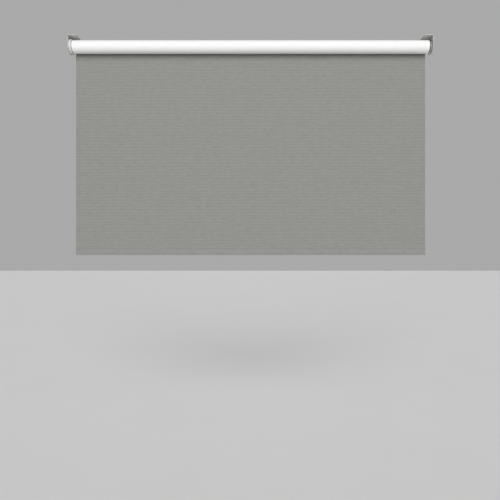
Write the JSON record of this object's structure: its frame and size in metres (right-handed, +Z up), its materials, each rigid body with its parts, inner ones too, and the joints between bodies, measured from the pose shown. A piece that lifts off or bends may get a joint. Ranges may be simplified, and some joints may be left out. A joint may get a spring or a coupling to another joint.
{
  "type": "roller blind",
  "caption": "Cordless motorised roller blind: opaque fabric winds on a tube between ceiling brackets and hangs to a weighted hem.",
  "frame": {"origin": "centre of the four ceiling screw holes, on the faces of the brackets that meet the ceiling", "axes": "+X along the roller with the motor at -X, +Y towards the window, +Z up to the ceiling"},
  "size_m": [1.186, 0.055, 0.713],
  "materials": {
    "bracket_steel": "light grey powder coat, fine texture",
    "socket_plastic": "moulded nylon, satin",
    "rivet_steel": "zinc plated, satin",
    "head_plastic": "white moulded plastic, satin",
    "screw_steel": "zinc plated",
    "port_steel": "bright nickel plate",
    "bung_rubber": "soft matte",
    "button_plastic": "satin",
    "black_plastic": "matte",
    "light_lens": "clear tinted lens, glossy",
    "housing_aluminium": "drawn, satin",
    "cradle_plastic": "matte moulded",
    "cell_sleeve": "shrink sleeve, semi-gloss",
    "nickel_strip": "bright",
    "circuit_board": "solder mask, semi-gloss",
    "wire_insulation": "soft vinyl",
    "brush_carbon": "sintered, matte",
    "can_steel": "zinc plated",
    "magnet_ferrite": "ground, dull",
    "bush_bronze": "sintered bronze",
    "rotor_steel": "laminated core with steel shaft",
    "gear_plastic": "acetal, satin",
    "carrier_metal": "machined",
    "wheel_plastic": "moulded nylon, satin",
    "tube_aluminium": "extruded, satin",
    "tape_film": "double-sided tape",
    "cloth_coated_back": "white acrylic coating over fine weave",
    "cloth_grey_face": "mid grey fine plain weave, matte",
    "pin_steel": "turned, bright",
    "spring_steel": "spring wire",
    "hem_aluminium": "extruded, satin",
    "cap_plastic": "satin"
  },
  "bodies": {
    "frame": {"left_bracket": "bracket_steel", "right_bracket": "bracket_steel", "left_socket": "socket_plastic", "right_socket": "socket_plastic", "left_rivets": "rivet_steel", "right_rivets": "rivet_steel", "motor_head": "head_plastic", "head_screws": "screw_steel", "charge_port": "port_steel", "set_switch": "black_plastic", "status_light": "light_lens", "motor_housing": "housing_aluminium", "battery_cradle": "cradle_plastic", "battery_cells": "cell_sleeve", "battery_tabs": "nickel_strip", "control_board": "circuit_board", "motor_leads": "wire_insulation", "brush_cap": "black_plastic", "carbon_brushes": "brush_carbon", "motor_can": "can_steel", "field_magnets": "magnet_ferrite", "motor_bushes": "bush_bronze", "gearbox_case": "gear_plastic", "output_bush": "bush_bronze", "housing_end_plug": "cradle_plastic", "housing_screws": "screw_steel"},
    "roller": {"roller_tube": "tube_aluminium", "fabric_roll": "cloth_coated_back", "fabric_tape": "tape_film", "crown_ring": "wheel_plastic", "drive_wheel": "wheel_plastic", "drive_clip": "screw_steel", "output_shaft": "carrier_metal", "idle_plug": "head_plastic", "idle_cap": "cradle_plastic", "idle_spring": "spring_steel"},
    "hem": {"hem_pocket": "cloth_grey_face", "hem_bar": "hem_aluminium", "hem_cap_left": "cap_plastic", "hem_cap_right": "cap_plastic", "fabric_panel": "cloth_grey_face"},
    "rotor": {"motor_rotor": "rotor_steel"},
    "first_carrier": {"first_carrier": "carrier_metal"},
    "idle_pin": {"idle_pin": "pin_steel"},
    "set_button": {"set_button": "button_plastic"},
    "port_bung": {"port_bung": "bung_rubber"},
    "first_planet_1": {"first_planet_1": "gear_plastic"},
    "second_planet_1": {"second_planet_1": "gear_plastic"},
    "first_planet_2": {"first_planet_2": "gear_plastic"},
    "second_planet_2": {"second_planet_2": "gear_plastic"},
    "first_planet_3": {"first_planet_3": "gear_plastic"},
    "second_planet_3": {"second_planet_3": "gear_plastic"}
  },
  "joints": [
    {"name": "roller_turn", "type": "hinge", "parent": "frame", "child": "roller", "pos_m": [0, 0, -0.029], "axis": [1, 0, 0], "range_deg": [-1800, 1800]},
    {"name": "hem_slide", "type": "slide", "parent": "frame", "child": "hem", "axis": [0, 0, 1], "range_m": [-0.6465, 0.6465], "deforming": ["fabric_panel"]},
    {"name": "motor_turn", "type": "hinge", "parent": "frame", "child": "rotor", "pos_m": [0, 0, -0.029], "axis": [1, 0, 0], "range_deg": [-36460, 36460]},
    {"name": "first_carrier_turn", "type": "hinge", "parent": "frame", "child": "first_carrier", "pos_m": [0, 0, -0.029], "axis": [1, 0, 0], "range_deg": [-8110, 8110]},
    {"name": "first_planet_1_spin", "type": "hinge", "parent": "first_carrier", "child": "first_planet_1", "pos_m": [-0.224, 0, -0.03508], "axis": [1, 0, 0], "range_deg": [-22690, 22690]},
    {"name": "first_planet_2_spin", "type": "hinge", "parent": "first_carrier", "child": "first_planet_2", "pos_m": [-0.224, 0.00526, -0.02596], "axis": [1, 0, 0], "range_deg": [-22690, 22690]},
    {"name": "first_planet_3_spin", "type": "hinge", "parent": "first_carrier", "child": "first_planet_3", "pos_m": [-0.224, -0.00526, -0.02596], "axis": [1, 0, 0], "range_deg": [-22690, 22690]},
    {"name": "second_planet_1_spin", "type": "hinge", "parent": "roller", "child": "second_planet_1", "pos_m": [-0.2125, 0, -0.03508], "axis": [1, 0, 0], "range_deg": [-5050, 5050]},
    {"name": "second_planet_2_spin", "type": "hinge", "parent": "roller", "child": "second_planet_2", "pos_m": [-0.2125, 0.00526, -0.02596], "axis": [1, 0, 0], "range_deg": [-5050, 5050]},
    {"name": "second_planet_3_spin", "type": "hinge", "parent": "roller", "child": "second_planet_3", "pos_m": [-0.2125, -0.00526, -0.02596], "axis": [1, 0, 0], "range_deg": [-5050, 5050]},
    {"name": "idle_pin_press", "type": "slide", "parent": "roller", "child": "idle_pin", "axis": [-1, 0, 0], "range_m": [0, 0.005], "stiffness_N_per_m": 1200, "springref_m": -0.004, "deforming": ["idle_spring"]},
    {"name": "set_button_press", "type": "slide", "parent": "frame", "child": "set_button", "axis": [0, -0.6157, 0.788], "range_m": [0, 0.0005], "stiffness_N_per_m": 800, "springref_m": -0.0005},
    {"name": "port_bung_pull", "type": "slide", "parent": "frame", "child": "port_bung", "axis": [0, 0, -1], "range_m": [0, 0.01]}
  ],
  "couplings": [
    {"joint": "hem_slide", "follows": "roller_turn", "m_per_rad": 0.020575},
    {"joint": "motor_turn", "follows": "roller_turn", "ratio": 20.25},
    {"joint": "first_carrier_turn", "follows": "roller_turn", "ratio": 4.5},
    {"joint": "first_planet_1_spin", "follows": "roller_turn", "ratio": -12.6},
    {"joint": "first_planet_2_spin", "follows": "roller_turn", "ratio": -12.6},
    {"joint": "first_planet_3_spin", "follows": "roller_turn", "ratio": -12.6},
    {"joint": "second_planet_1_spin", "follows": "roller_turn", "ratio": -2.8},
    {"joint": "second_planet_2_spin", "follows": "roller_turn", "ratio": -2.8},
    {"joint": "second_planet_3_spin", "follows": "roller_turn", "ratio": -2.8}
  ]
}
